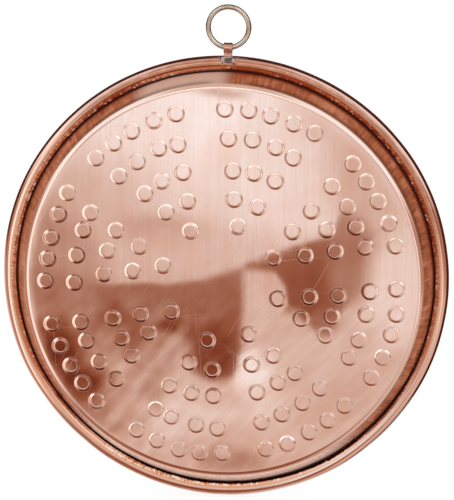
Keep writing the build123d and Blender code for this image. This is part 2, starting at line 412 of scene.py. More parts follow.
def base_colour(g, medium, lay, scratch, clean, side_shade):
    """Warmer and cooler patches, polishing lines, scratches and the marks' sides, with painted shade
    on the sides in the shaded patches.
    """
    large = g.noise(g.position, scale=0.018, detail=3.0, rough=0.55, distortion=0.6)
    colour = g.colours(large, [(0.30, (0.93, 0.665, 0.56)), (0.5, POLISHED),
                               (0.72, (0.91, 0.695, 0.61))])
    colour = g.paint(colour, (0.90, 0.64, 0.53), mask=g.ramp(medium, 0.35, 0.75, 0.0, 0.35))
    colour = g.paint(colour, (0.86, 0.60, 0.50), mask=g.ramp(lay, 0.35, 0.68), amount=0.38)
    colour = g.paint(colour, (0.80, 0.55, 0.46), mask=scratch, amount=0.22)
    colour = g.paint(colour, (0.94, 0.775, 0.705), mask=clean, amount=0.75)
    # painted shade on the marks' sides in the shaded patches
    return g.paint(colour, (0.33, 0.135, 0.080), mask=side_shade, amount=0.92)


def wall_colour(g, wall, axial):
    """The unpolished wall, and the parts of it that the mop got to, whose pale colour is also a
    painted reflection; painted shade along the wall's foot in places.
    """
    blotch = g.stretched(((g.angle, 9.0), (g.y, 0.12), 4.4), 3.0, 0.6)
    raw = g.colours(axial, [(0.30, (0.24, 0.055, 0.020)), (0.5, (0.43, 0.118, 0.046)),
                            (0.72, (0.68, 0.25, 0.12))])
    raw = g.paint(raw, (0.86, 0.40, 0.24), mask=g.ramp(blotch, 0.42, 0.66, 0.0, 0.42))
    raw = g.paint(raw, (0.44, 0.13, 0.05), mask=g.ramp(blotch, 0.46, 0.30, 0.0, 0.5))
    # painted shade: a dark line along the foot of the wall in places
    foot = g.window(g.radius, (123.2, 124.2), (126.6, 125.0))
    places = g.maximum(g.sector((4, 16), (88, 80)), g.sector((108, 117), (144, 126)))
    raw = g.paint(raw, (0.20, 0.050, 0.020), mask=g.mul(foot, places), amount=0.75)
    # darker and redder high on the wall, towards the lip, over most of the top half
    upper_wall_darkening = g.mul(g.ramp(g.y, 7.9, 9.6), wall, g.sector((-12, 10), (150, 120)))
    raw = g.paint(raw, (0.30, 0.055, 0.020), mask=upper_wall_darkening, amount=0.75)

    mopped_and_sheen = g.colours(axial, [(0.30, (0.88, 0.56, 0.44)), (0.6, (0.94, 0.70, 0.60))])
    # the painted reflection is darker towards the top
    mopped_and_sheen = g.paint(mopped_and_sheen, (0.74, 0.50, 0.40), mask=g.ramp(g.z, 60.0, 90.0))
    # painted shade: a dark line along the foot here too
    mopped_and_sheen = g.paint(mopped_and_sheen, (0.34, 0.19, 0.13), amount=0.7,
                     mask=g.mul(foot, g.sector((91, 97), (130, 118))))
    # low down, and for a little way left of the hanger: polished by the mop, and a painted
    # reflection there
    mop_and_sheen_places = g.maximum(g.sector((-142, -122), (-42, -62)), g.sector((87, 93), (119, 111)))
    return g.paint(raw, mopped_and_sheen, mask=mop_and_sheen_places)


def roll_reflection_tones(g, colour):
    """Painted reflection tones over the top half of the roll, outside it low down, and by the lip.
    """
    ripple = g.stretched(((g.angle, 26.0), (g.radius, 0.5), 2.6), 3.0, 0.6)
    over_top = g.sector((0, 22), (142, 120))
    crown = g.mul(g.window(g.radius, (138.8, 137.2), (130.6, 131.2)),
                  g.ramp(ripple, 0.25, 0.6, 0.6, 1.0))
    # painted reflection: darker red over the top half of the roll
    colour = g.paint(colour, (0.56, 0.29, 0.20), mask=g.mul(over_top, crown))
    # painted reflection: redder outside the roll low down
    outside = g.mul(g.sector((-144, -130), (-76, -92)), g.ramp(g.radius, 136.6, 138.2))
    colour = g.paint(colour, (0.60, 0.27, 0.16),
                     mask=g.mul(outside, g.ramp(ripple, 0.3, 0.6, 0.4, 0.85)))
    # painted reflection of the copper wall: orange beside the lip, except at the lower right, and
    # darker over the top
    lit = g.sector((-82, -70), (-12, -26))
    beside = g.mul(g.window(g.radius, (135.7, 134.0), (130.6, 131.2)), g.invert(lit))
    colour = g.paint(colour, (0.93, 0.56, 0.36), mask=beside, amount=0.85)
    return g.paint(colour, (0.66, 0.27, 0.14), mask=g.mul(beside, over_top), amount=0.9)


def lip_painted_flecks(g, colour):
    """Small painted glints and painted dark flecks along the lip's edge."""
    fleck_noise = g.stretched(((g.angle, 95.0), (g.radius, 0.35), 8.8), 2.0, 0.5)
    left = g.maximum(g.past(100, 112), g.past(-168, -176))
    part = g.maximum(g.sector((-14, -6), (72, 60)),
                     g.maximum(g.sector((-128, -120), (-90, -96)), left))
    on_lip = g.mul(g.window(g.radius, (134.8, 133.6), (130.8, 131.4)), part)
    # painted shade: dark flecks
    colour = g.paint(colour, (0.45, 0.17, 0.08), amount=0.7,
                     mask=g.mul(on_lip, g.ramp(fleck_noise, 0.46, 0.40)))
    # painted glints: bright flecks
    return g.paint(colour, (1.0, 0.88, 0.76), amount=0.9,
                   mask=g.mul(on_lip, g.ramp(fleck_noise, 0.55, 0.61)))


# painted light beside the hanger, one painted shade spot and two painted glints: (x, radius), their
# sizes, colour, amount
HANGER_GLINTS_AND_SHADE = (((3.9, 135.4), (0.55, 1.3), (0.26, 0.09, 0.05), 0.85),
                ((0.9, 133.5), (1.3, 0.8), (1.0, 0.84, 0.66), 1.0),
                ((4.5, 132.9), (0.6, 0.7), (1.0, 0.84, 0.66), 1.0))


def rim_colour(g, base):
    """Colour of the rim, with its masks of painted highlight: the pale streak over the roll and the
    bright crimp marks.
    """
    colour = g.paint(base, (0.93, 0.67, 0.56), mask=g.ramp(g.radius, 122.5, 125.0))
    colour = roll_reflection_tones(g, colour)
    # a painted highlight: a pale streak that climbs over the roll at the lower right
    track = g.line(g.angle, radians(-25), radians(-74), 132.7, 136.2)
    off_track = g.math("ABSOLUTE", g.sub(g.radius, track))
    lip_highlight_streak = g.mul(g.ramp(off_track, 1.0, 0.15), g.sector((-14, -34), (-86, -68)),
                   g.ramp(g.y, 12.5, 12.0))
    colour = g.paint(colour, (1.0, 0.93, 0.89), mask=lip_highlight_streak, amount=0.7)
    colour = lip_painted_flecks(g, colour)
    # paints the glints and the shade spot beside the hanger
    for centre, size, spot_colour, amount in HANGER_GLINTS_AND_SHADE:
        distance = g.oval_distance(g.x, g.radius, centre, size)
        spot = g.mul(g.ramp(distance, 1.15, 0.75), g.ramp(g.z, 90.0, 100.0))
        colour = g.paint(colour, spot_colour, mask=spot, amount=amount)
    # painted highlights on the crimp marks' bumps and painted shade in their dents
    scraped = g.node("ShaderNodeAttribute", attribute_name="scraped").outputs["Fac"]
    bright = g.ramp(scraped, 0.15, 0.8)
    colour = g.paint(colour, (1.0, 0.90, 0.80), mask=bright)
    colour = g.paint(colour, (0.45, 0.16, 0.08), mask=g.ramp(scraped, -0.15, -0.6), amount=0.8)
    return colour, lip_highlight_streak, bright


def make_copper():
    """Polished base and rim, raw wall, dark oxide inside the roll and painted shade on the wall
    tucked under the lip.
    """
    g = Surface("copper_polished")
    x, y, z = g.x, g.y, g.z
    wall = g.math("MULTIPLY", g.window(g.radius, (123.6, 125.0), (132.2, 131.7)),
                  g.ramp(y, 13.5, 11.5), clamp=True)
    on_base = g.ramp(g.radius, 124.0, 121.5)
    on_rim = g.ramp(g.radius, 121.5, 124.0)
    crevice = crevice_mask(g)
    medium = g.noise(g.position, scale=0.11, detail=3.0, rough=0.6, distortion=0.4)
    fine = g.noise(g.position, scale=1.7, detail=3.0, rough=0.6)
    # polishing lines: upright in the top half, slanting below, and along the wall
    upright = g.stretched(((x, 0.45), y, (z, 0.010)), 3.0, 0.55)
    broad = g.stretched(((x, 0.22), 7.3, (z, 0.006)), 2.0, 0.5)
    slanting = g.stretched(((g.add(x, z), 0.02), 3.1, (g.sub(z, x), 0.75)), 3.0, 0.6)
    axial = g.stretched(((g.angle, 62.0), (y, 0.04), 1.7), 4.0, 0.7)
    lay = g.over(upright, slanting, mask=g.ramp(z, 25.0, -35.0))
    first = g.maximum(scratches(g, 62, across=0.55, along=70, start=0.70, end=0.74, seed=2.2),
                      scratches(g, -38, across=0.5, along=55, start=0.74, end=0.78, seed=5.9))
    second = g.maximum(scratches(g, 94, across=0.5, along=90, start=0.70, end=0.74, seed=9.1),
                       scratches(g, 8, across=0.45, along=60, start=0.73, end=0.77, seed=12.4))
    scratch = g.mul(g.maximum(first, second), on_base)
    side, patches, side_shade = mark_sides(g, on_base)
    clean = g.mul(side, g.invert(patches))

    base = base_colour(g, medium, lay, scratch, clean, side_shade)
    rim, lip_highlight_streak, bright = rim_colour(g, base)
    colour = g.paint(rim, wall_colour(g, wall, axial), mask=wall)
    # dark oxide inside the roll, painted shade on the wall under the lip
    colour = g.paint(colour, (0.11, 0.013, 0.005), mask=crevice)

    metallic = g.invert(g.maximum(g.maximum(g.mul(wall, 0.62), g.mul(crevice, 0.85)),
                                  g.maximum(g.mul(lip_highlight_streak, 0.45), g.mul(bright, 0.95))))

    rough = g.add(g.line(lay, 0.25, 0.75, 0.012, 0.026), g.line(medium, 0.45, 0.75, 0.0, 0.012))
    rough = g.over(rough, 0.14, mask=scratch)
    rough = g.over(rough, 0.19, mask=clean)
    rough = g.over(rough, 0.11, mask=g.mul(side, patches))
    rough = g.over(rough, g.line(fine, 0.3, 0.7, 0.10, 0.17), mask=on_rim)
    rough = g.over(rough, g.line(axial, 0.3, 0.7, 0.20, 0.30), mask=wall)
    rough = g.over(rough, 0.36, mask=wall)
    rough = g.over(rough, 0.6, mask=crevice)

    height = g.mul(g.add(g.mul(lay, 0.00045), g.mul(broad, 0.0009)), on_base)
    height = g.sub(height, g.mul(scratch, 0.0002))
    height = g.add(height, g.mul(axial, 0.010, wall), g.mul(fine, 0.0012, on_rim))
    return g.finish(colour, metallic, rough, height)


def make_tin():
    """Wiped tin lining with faint sweeps, giving way to copper at the rim."""
    g = Surface("tin_lining")
    large = g.noise(g.position, scale=0.02, detail=3.0, rough=0.55, distortion=1.2)
    medium = g.noise(g.position, scale=0.14, detail=4.0, rough=0.65, distortion=0.8)
    fine = g.noise(g.position, scale=1.4, detail=3.0, rough=0.6)
    sweeps = g.stretched(((g.radius, 0.55), (g.angle, 1.1), 2.0), 4.0, 0.7, 0.4)
    edge = g.ramp(g.add(g.radius, g.mul(medium, 2.4)), 131.0, 132.6)
    colour = g.colours(sweeps, [(0.28, (0.50, 0.485, 0.46)), (0.5, (0.62, 0.605, 0.58)),
                                (0.75, (0.72, 0.71, 0.69))])
    colour = g.paint(colour, (0.66, 0.62, 0.57), mask=g.ramp(large, 0.35, 0.7, 0.0, 0.5))
    colour = g.paint(colour, POLISHED, mask=edge)
    rough = g.add(g.line(sweeps, 0.3, 0.7, 0.24, 0.36), g.line(medium, 0.4, 0.7, 0.0, 0.08))
    height = g.add(g.mul(sweeps, 0.010), g.mul(medium, 0.035), g.mul(fine, 0.003))
    return g.finish(colour, metallic=g.over(0.56, 0.90, mask=edge),
                    roughness=g.over(rough, 0.14, mask=edge),
                    height=g.mul(height, g.invert(edge)))


def make_plain_metal(name, tones, rough, scale, relief, overlay=None):
    """Mottled metal; tones are dark, main and light, relief is in millimetres."""
    g = Surface(name, polar=False)
    coarse = g.noise(g.position, scale, detail=4.0, rough=0.6, distortion=0.4)
    fine = g.noise(g.position, scale * 4.5, detail=3.0, rough=0.6)
    mottle = g.add(g.mul(coarse, 0.65), g.mul(fine, 0.35))
    colour = g.colours(mottle, list(zip((0.32, 0.5, 0.68), tones)))
    if overlay:
        colour = overlay(g, colour)
    return g.finish(colour, 1.0, g.line(mottle, 0.3, 0.7, *rough), g.mul(mottle, relief))


def dark_grazing(g, colour):
    """Painted shade: darkens the metal where it turns away from the eye."""
    weight = g.node("ShaderNodeLayerWeight")
    weight.inputs["Blend"].default_value = 0.5
    mask = g.ramp(weight.outputs["Facing"], 0.14, 0.46, 0.0, 0.85)
    return g.paint(colour, (0.10, 0.072, 0.048), mask)


def solder_painted_shade(g, colour):
    """Painted shade: darkens the solder's middle, short of the roll's outermost part."""
    off_middle = g.math("ABSOLUTE", g.sub(g.x, 0.5))
    radius = g.length(g.x, g.z)
    mask = g.mul(g.ramp(off_middle, 3.0, 1.6), g.ramp(radius, 139.4, 138.4))
    return g.paint(colour, (0.10, 0.095, 0.09), mask, amount=0.85)


copper = make_copper()
tin = make_tin()
wire_steel = make_plain_metal(
    "rim_wire_steel", ((0.050, 0.012, 0.006), (0.11, 0.028, 0.012), (0.20, 0.065, 0.030)),
    rough=(0.35, 0.55), scale=0.5, relief=0.01)
strap_copper = make_plain_metal(
    "strap_copper", ((0.60, 0.34, 0.25), (0.78, 0.50, 0.40), (0.90, 0.64, 0.54)),
    rough=(0.20, 0.34), scale=0.55, relief=0.02)
solder_grey = make_plain_metal(
    "tin_solder", ((0.20, 0.17, 0.155), (0.50, 0.46, 0.45), (0.92, 0.88, 0.88)),
    rough=(0.16, 0.34), scale=0.7, relief=0.03, overlay=solder_painted_shade)
ring_brass = make_plain_metal(
    "ring_brass", ((0.42, 0.39, 0.31), (0.68, 0.63, 0.53), (0.90, 0.84, 0.74)),
    rough=(0.16, 0.28), scale=0.6, relief=0.008, overlay=dark_grazing)

# ------------------------------------------------------- the rim, column by column
COLUMNS = 960
HANGER_COLUMN = COLUMNS // 4
NOTCH_HALF = 3               # columns each side of the hanger
NOTCH = range(HANGER_COLUMN - NOTCH_HALF, HANGER_COLUMN + NOTCH_HALF)
NOTCH_HALF_DEG = NOTCH_HALF * 360.0 / COLUMNS
SEAM_TH = 87.95              # the sheet's ends meet just right of the hanger

even_deg = np.arange(COLUMNS) * 360.0 / COLUMNS
off_hanger = even_deg - 90.0
# the columns beside the hanger open out a little round the notch
th_deg = (even_deg + 0.075 * (off_hanger / NOTCH_HALF_DEG)
          * np.exp(-np.maximum(0, np.abs(off_hanger) - NOTCH_HALF_DEG) / 3.0)
          * (np.abs(off_hanger) < 40))
th = np.radians(th_deg)
half_th = th[::2]
clockwise = np.mod(1.0 - th_deg, 360.0)      # from the right, as seen from -Y
near_hanger = np.abs(th_deg - 90.0) < 1.6

# how far the rim is out of place, in radius and along the axis
at_hanger = np.exp(-((th_deg - 90.0) / 2.5) ** 2)
shift_u = looped(clockwise, OUT_OF_ROUND) * (1 - at_hanger) + 0.03 * at_hanger
shift_y = (wave(th, {2: 0.10, 3: 0.12, 5: 0.08, 9: 0.04}, 11)
           * (1 - np.exp(-((th_deg - 90.0) / 6) ** 2)))
right_of_seam = (smooth(0, 1, (SEAM_TH - th_deg) / 0.3) * smooth(22, 2, SEAM_TH - th_deg)
                 * (th_deg < SEAM_TH + 1))


def lip_angle():
    """Degrees round the roll at which each column's lip ends."""
    rag = np.random.default_rng(7).normal(0, 1.0, COLUMNS)
    rag = (rag + 0.6 * np.roll(rag, 1)) / 1.2
    longer = np.clip(np.minimum((clockwise - 95.0) / 30.0, (365.0 - clockwise) / 20.0), 0.0, 1.0)
    short = (looped(clockwise, LIP_SHORT) + rag * looped(clockwise, LIP_RAGGED)
             + 0.6 - 1.6 * longer)
    # a spur and two nicks: where, half-width, change
    for place, reach, change in ((60.6, 0.35, -13.0), (59.6, 0.4, 5.0), (43.0, 0.3, 4.0)):
        short[np.abs(clockwise - place) < reach] += change
    short = short - 3.5 * right_of_seam
    short[near_hanger] = 0.0
    return ROLL_END + short


def crimp_marks():
    """Small bumps and dents left by the closing tool beside the lip."""
    marks = np.zeros(COLUMNS)
    random = np.random.default_rng(19)
    place = 0.0
    while place < 360.0:
        width = random.uniform(0.22, 0.42)
        amp = random.choice([0.06, 0.12, 0.18, 0.26], p=[0.35, 0.3, 0.2, 0.15])
        amp = amp * random.choice([1, -0.55], p=[0.6, 0.4])
        away = np.abs((th_deg - place + 180) % 360 - 180)
        marks += amp * np.exp(-(away / width) ** 2)
        step = random.choice([0.8, 1.1, 1.6, 2.4], p=[0.3, 0.35, 0.25, 0.1])
        place += step * random.uniform(0.8, 1.25)
    marks *= looped(clockwise, CRIMP_SIZE)
    marks[near_hanger] = 0.0
    return marks


lip_end = lip_angle()
crimp = crimp_marks()
# painted light of the crimp marks: positive on their bumps, negative in their dents
scrape = np.clip(crimp / 0.10, -1, 1)
# long soft dents over the crown: near the lip, and near the wall
lip_dents = wave(th, {17: 0.012, 23: 0.012, 31: 0.010, 44: 0.008, 61: 0.006}, 5)
wall_dents = wave(th, {19: 0.012, 27: 0.010, 38: 0.008, 52: 0.006}, 6)
# the wall is a little fuller in places
fullness = wave(th, {2: 0.25, 3: 0.20, 5: 0.10, 7: 0.06}, 31)

# ------------------------------------------------------- the pan as one sheet
COPPER_SLOT, TIN_SLOT = 0, 1


class Sheet:
    """The pan's vertices and faces, gathered row by row."""

    def __init__(self):
        self.points, self.normals, self.scraped = [], [], []
        self.faces, self.slots = [], []
        self.count = 0
        self.last = None

    def add_points(self, points, normal=(0.0, 0.0, 0.0), scraped=0.0):
        """Adds vertices and returns their indices; a zero normal is left to the mesh."""
        points = np.asarray(points, float)
        self.points.append(points)
        self.normals.append(np.broadcast_to(normal, points.shape))
        self.scraped.append(np.broadcast_to(scraped, len(points)))
        start = self.count
        self.count += len(points)
        return list(range(start, self.count))

    def add_ring(self, u, y, angles, **values):
        u, y = np.broadcast_to(u, angles.shape), np.broadcast_to(y, angles.shape)
        points = np.stack([u * np.cos(angles), y, u * np.sin(angles)], 1)
        return self.add_points(points, **values)

    def add_row(self, u, y, slot, notched=False, scraped=0.0):
        """Adds a full ring and joins it to the last one."""
        row = self.add_ring(u, y, th, scraped=scraped)
        if len(self.last) < len(row):
            self.halving(self.last, row, slot)
        else:
            self.band(self.last, row, slot, NOTCH if notched else ())
        self.last = row
        return row

    def add_faces(self, faces, slot):
        self.faces += faces
        self.slots += [slot] * len(faces)

    def band(self, a, b, slot, skip=()):
        n = len(a)
        self.add_faces([(a[j], a[(j + 1) % n], b[(j + 1) % n], b[j])
                        for j in range(n) if j not in skip], slot)

    def halving(self, few, many, slot):
        """Joins a ring to one of twice as many vertices."""
        n = len(few)
        faces = []
        for j in range(n):
            a0, a1 = few[j], few[(j + 1) % n]
            b0, b1, b2 = many[2 * j], many[2 * j + 1], many[(2 * j + 2) % (2 * n)]
            faces += [(a0, b1, b0), (a0, a1, b1), (a1, b2, b1)]
        self.add_faces(faces, slot)


sheet = Sheet()

SHOULDER_SHARE = 0.15        # of the rim's shift, taken up by the shoulder


def shoulder_rows(radius, degs, shares, slot):
    for deg, share in zip(degs, shares):
        sheet.add_row(BASE_R + radius * cos(radians(deg)) + share * shift_u,
                      SHOULDER_Y + radius * sin(radians(deg)) + share * shift_y, slot)


def wall_rows(foot, head, places, slot):
    """Straight wall from foot to head, both (u, y); places run from 0 to 1 between them."""
    for t in places:
        share = SHOULDER_SHARE + (1 - SHOULDER_SHARE) * t
        bulge = fullness * 0.16 * sin(pi * t)
        sheet.add_row(foot[0] * (1 - t) + head[0] * t + share * shift_u + bulge,
                      foot[1] * (1 - t) + head[1] * t + share * shift_y, slot)


def roll_row(radius, deg, **values):
    """A row at this radius and angle round the roll."""
    angle = np.radians(deg)
    return sheet.add_row(ROLL_U + shift_u + radius * np.cos(angle),
                         ROLL_Y + shift_y + radius * np.sin(angle), COPPER_SLOT, **values)


def tangent_point(centre, reach):
    """A point on the wall's face, reach along its normal from a (u, y) centre."""
    return centre[0] + reach * WALL_NU, centre[1] + reach * WALL_NY


SHOULDER_CENTRE, ROLL_CENTRE = (BASE_R, SHOULDER_Y), (ROLL_U, ROLL_Y)
NOTCH_END = 78.0             # degrees round the roll

# outside face: base edge, shoulder, wall
outer_edge = sheet.add_ring(BASE_R, BASE_Y, half_th, normal=(0.0, -1.0, 0.0))
sheet.last = outer_edge
shoulder_rows(SHOULDER_R, np.linspace(-90, -FLARE, 8)[1:],
              np.linspace(0, SHOULDER_SHARE, 8)[1:], COPPER_SLOT)
wall_rows(tangent_point(SHOULDER_CENTRE, SHOULDER_R), tangent_point(ROLL_CENTRE, -ROLL_INNER_R),
          (0.2, 0.4, 0.6, 0.8, 1.0), COPPER_SLOT)

# inside of the roll, to the lip
for deg in (127.0, 102.0):
    roll_row(ROLL_INNER_R, deg)
inner_rows = [roll_row(ROLL_INNER_R, NOTCH_END)]
INNER_STEPS = 9
for k in range(1, INNER_STEPS + 1):
    f = k / INNER_STEPS
    inner_rows.append(roll_row(ROLL_INNER_R + (crimp * 0.5) * smooth(0.78, 1.0, f),
                               NOTCH_END + (lip_end - NOTCH_END) * f, notched=True))
# the lip is rounded over
middle_r = (ROLL_INNER_R + ROLL_R) / 2
half_sheet = SHEET / 2
lip_rows = []
for q in (-50.0, 0.0, 50.0):
    back = degrees(half_sheet * 0.75 * cos(radians(q)) / middle_r)
    lip_rows.append(roll_row(middle_r + half_sheet * sin(radians(q)) + crimp * 0.5,
                             lip_end - back, notched=True, scraped=scrape * (q > 0)))
# outside of the roll; close rows near the lip carry the crimp marks
seam_groove = np.exp(-((th_deg - SEAM_TH) / 0.22) ** 2) * 0.42
seam_step = 0.10 * right_of_seam
outer_rows = []
from_lip = (0, 2.5, 5.5, 9, 13, 18, 24, 31)
for deg in from_lip:
    fade = 1.0 - smooth(8.0, 34.0, float(deg))
    radius = ROLL_R + crimp * fade + lip_dents * (1 - fade) - seam_groove + seam_step
    outer_rows.append(roll_row(radius, lip_end + deg, notched=True,
                               scraped=scrape * smooth(30.0, 4.0, float(deg))))
start = lip_end + from_lip[-1]
for f in np.linspace(0, 1, 15)[1:]:
    deg = start + (NOTCH_END - start) * f
    dents = lip_dents * (1 - f) + wall_dents * f
    pit = (0.55 * np.exp(-((th_deg - 88.52) / 0.30) ** 2)
           * np.exp(-((deg + 84.0) / 10.0) ** 2))
    radius = (ROLL_R - pit + dents * (1.0 if f < 1 else 0.4)
              - seam_groove * smooth(0.5, 0.15, f) + seam_step * (1 - f))
    outer_rows.append(roll_row(radius, deg, notched=True))
for deg in (97.0, 116.0, 134.0, ROLL_START):
    roll_row(ROLL_R, deg)


def close_notch():
    """The notch's cut faces: its end across the sheet and its two sides."""
    inner, outer = inner_rows[0], outer_rows[-1]
    sheet.add_faces([(inner[j], inner[j + 1], outer[j + 1], outer[j]) for j in NOTCH],
                    COPPER_SLOT)
    for column in (NOTCH.start, NOTCH.stop):
        inner = [row[column] for row in inner_rows]
        outer = [row[column] for row in reversed(outer_rows)]
        lip = [row[column] for row in lip_rows]
        # a strip between the two arcs, then the lip's rounded corner
        last_i, last_o = len(inner) - 1, len(outer) - 1
        i = o = 0
        faces = []
        while i < last_i or o < last_o:
            next_i = (i + 1) / last_i if i < last_i else 9
            next_o = (o + 1) / last_o if o < last_o else 9
            if next_i <= next_o:
                faces.append((inner[i], inner[i + 1], outer[o]))
                i += 1
            else:
                faces.append((inner[i], outer[o + 1], outer[o]))
                o += 1
        faces += [(inner[-1], lip[0], lip[1]), (inner[-1], lip[1], outer[-1]),
                  (lip[1], lip[2], outer[-1])]
        sheet.add_faces(faces, COPPER_SLOT)


close_notch()
# inside face: wall, shoulder and the floor's edge
INNER_SHOULDER_R = SHOULDER_R - SHEET
wall_rows(tangent_point(SHOULDER_CENTRE, INNER_SHOULDER_R), tangent_point(ROLL_CENTRE, -ROLL_R),
          (0.75, 0.5, 0.25, 0.0), TIN_SLOT)
shoulder_rows(INNER_SHOULDER_R, np.linspace(-FLARE, -90, 6)[1:-1],
              np.linspace(SHOULDER_SHARE, 0, 6)[1:-1], TIN_SLOT)
inner_edge = sheet.add_ring(BASE_R, 0.0, half_th, normal=(0.0, 1.0, 0.0))
sheet.halving(inner_edge, sheet.last, TIN_SLOT)

# ------------------------------------------------------- the base and its marks
Mark = namedtuple("Mark", "group index x z height tilt tilt_to pip growth")


def make_marks():
    random = np.random.default_rng(442)
    marks = []
    for gi, group in enumerate(MARKS):
        for mi, (radius, deg) in enumerate(group):
            height = float(random.uniform(0.24, 0.42))
            marks.append(Mark(
                gi, mi, radius * cos(radians(deg)), radius * sin(radians(deg)),
                height=DEEP.get((gi, mi), height),
                tilt=float(min(0.0035, abs(random.normal(0, 0.0016)))),
                tilt_to=float(random.uniform(0, 2 * np.pi)),
                pip=float(random.uniform(0.0, 0.006)),
                growth=1.0 if (gi, mi) in NARROW else FOOT_GROWTH))
    return marks


def add_mark(mark, y0, rings, heights, top, segs, spin, sign, slot):
    """One mark, from its foot inwards; returns the foot's indices and points."""
    foot = rings[0]
    angles = np.arange(segs) * 2 * np.pi / segs + spin
    lean_x, lean_z = mark.tilt * cos(mark.tilt_to), mark.tilt * sin(mark.tilt_to)
    last = None
    for ri, (ring, share) in enumerate(zip(rings, heights)):
        # each ring is a little out of round
        wobble = 1 + (0.006 * np.cos(2 * angles + mark.group * 1.3 + mark.index)
                      + 0.004 * np.cos(3 * angles + mark.index * 2.1)) * (1 + (ri > 0))
        spread = min(1.0, max(0.0, (ring - top) / (foot - top)))
        r = ring * wobble * (1.0 + (mark.growth - 1.0) * spread)
        lean = mark.tilt * r * np.cos(angles - mark.tilt_to) * share
        points = np.stack([mark.x + r * np.cos(angles), y0 - mark.height * share - lean,
                           mark.z + r * np.sin(angles)], 1)
        t = (foot - ring) / (foot - top)
        slope = mark.height * 6 * t * (1 - t) / (foot - top) if 0 < t < 1 and ri > 0 else 0.0
        normal = np.stack([slope * np.cos(angles) - lean_x * share, -np.ones(segs),
                           slope * np.sin(angles) - lean_z * share], 1) * sign
        row = sheet.add_points(points, normal / np.linalg.norm(normal, axis=1)[:, None])
        if last is None:
            foot_row, foot_points = row, points
        else:
            sheet.band(last, row, slot)
        last = row
    # the top is flat with a faint pip
    normal = np.array([-lean_x, -1.0, -lean_z]) * sign
    centre = sheet.add_points([[mark.x, y0 - mark.height + mark.pip, mark.z]],
                              normal / np.linalg.norm(normal))[0]
    sheet.add_faces([(last[k], last[(k + 1) % segs], centre) for k in range(segs)], slot)
    return foot_row, foot_points


def base_disc(marks, y0, rings, heights, top, segs, boundary, grid, sign, slot):
    """The flat of the base with its marks. rings are radii of a mark from its foot
    inwards, heights the share of its height at each, top the radius of its flat."""
    random = np.random.default_rng(3)
    n = len(boundary)
    plan = [(float(p[0]), float(p[2])) for p in np.concatenate(sheet.points)[boundary]]
    edges = [(k, (k + 1) % n) for k in range(n)]
    owner = list(boundary)
    mark_of = [-1] * n
    for number, mark in enumerate(marks):
        spin = random.uniform(0, 2 * np.pi / segs)
        row, points = add_mark(mark, y0, rings, heights, top, segs, spin, sign, slot)
        k0 = len(plan)
        plan += [(float(p[0]), float(p[2])) for p in points]
        owner += row
        mark_of += [number] * segs
        edges += [(k0 + k, k0 + (k + 1) % segs) for k in range(segs)]
    # loose points between the marks keep the triangles even
    mark_x = np.array([mark.x for mark in marks])
    mark_z = np.array([mark.z for mark in marks])
    between = []
    for iz in range(-18, 19):
        for ix in range(-18, 19):
            x = (ix + 0.5 * (iz % 2)) * grid + random.uniform(-0.6, 0.6)
            z = iz * grid * 0.866 + random.uniform(-0.6, 0.6)
            if hypot(x, z) > BASE_R - 4.5:
                continue
            if np.min(np.hypot(mark_x - x, mark_z - z)) < rings[0] + 2.6:
                continue
            between.append((x, y0, z))
    owner += sheet.add_points(between, (0.0, -1.0 * sign, 0.0))
    plan += [(p[0], p[2]) for p in between]
    mark_of += [-1] * len(between)
    out_v, _, out_f, orig_v, _, _ = delaunay_2d_cdt(
        [Vector(p) for p in plan], edges, [], 0, 1e-7)
    faces = []
    for face in out_f:
        centre = sum((Vector(out_v[i]) for i in face), Vector((0, 0))) / len(face)
        if centre.length > BASE_R:
            continue
        of_mark = {mark_of[orig_v[i][0]] for i in face}
        if len(of_mark) == 1 and -1 not in of_mark:
            continue                      # inside a mark's foot, which has its own faces
        faces.append(tuple(owner[orig_v[i][0]] for i in face))
    sheet.add_faces(faces, slot)


marks = make_marks()
# bosses outside, dents inside
BOSS_RINGS, BOSS_TOP = [5.30, 5.10, 4.86, 4.62, 4.38, 4.16, 4.02, 3.4], 4.00
base_disc(marks, BASE_Y, BOSS_RINGS, [float(smooth(BOSS_RINGS[0], BOSS_TOP, r)) for r in BOSS_RINGS],
          BOSS_TOP, segs=28, boundary=outer_edge, grid=9.0, sign=1, slot=COPPER_SLOT)
base_disc(marks, 0.0, [5.20, 4.85, 4.45, 4.05], [0.0, 0.28, 0.75, 1.0],
          4.05, segs=20, boundary=inner_edge, grid=11.0, sign=-1, slot=TIN_SLOT)

pan = new_object("pan_body", np.concatenate(sheet.points), sheet.faces, [copper, tin],
                 sheet.slots, np.concatenate(sheet.normals), np.concatenate(sheet.scraped))
hand_over(pan, "pan", "pan_shell")


# ------------------------------------------------------ rim wire and hanging ring
def tube(n, segs):
    """Quads of a closed tube of n rings."""
    return [(k * segs + s, k * segs + (s + 1) % segs,
             (k + 1) % n * segs + (s + 1) % segs, (k + 1) % n * segs + s)
            for k in range(n) for s in range(segs)]


def sweep_ring(name, centres, radial, radii, segs, material):
    """A closed round bar through centres, with the outward direction at each."""
    verts = []
    for c, d, r in zip(centres, radial, radii):
        for s in range(segs):
            b = 2 * np.pi * s / segs
            verts.append(c + d * r * np.cos(b) + np.array([0, 1, 0]) * r * np.sin(b))
    return new_object(name, np.array(verts), tube(len(centres), segs), [material])


def outward(angles):
    return np.stack([np.cos(angles), np.zeros(len(angles)), np.sin(angles)], 1)


radial = outward(half_th)
centres = radial * (ROLL_U + shift_u[::2])[:, None]
centres[:, 1] = ROLL_Y + shift_y[::2]
wire = sweep_ring("rim_bar", centres, radial, np.full(len(half_th), RIM_WIRE_R), 16, wire_steel)
hand_over(wire, "pan", "rim_wire")

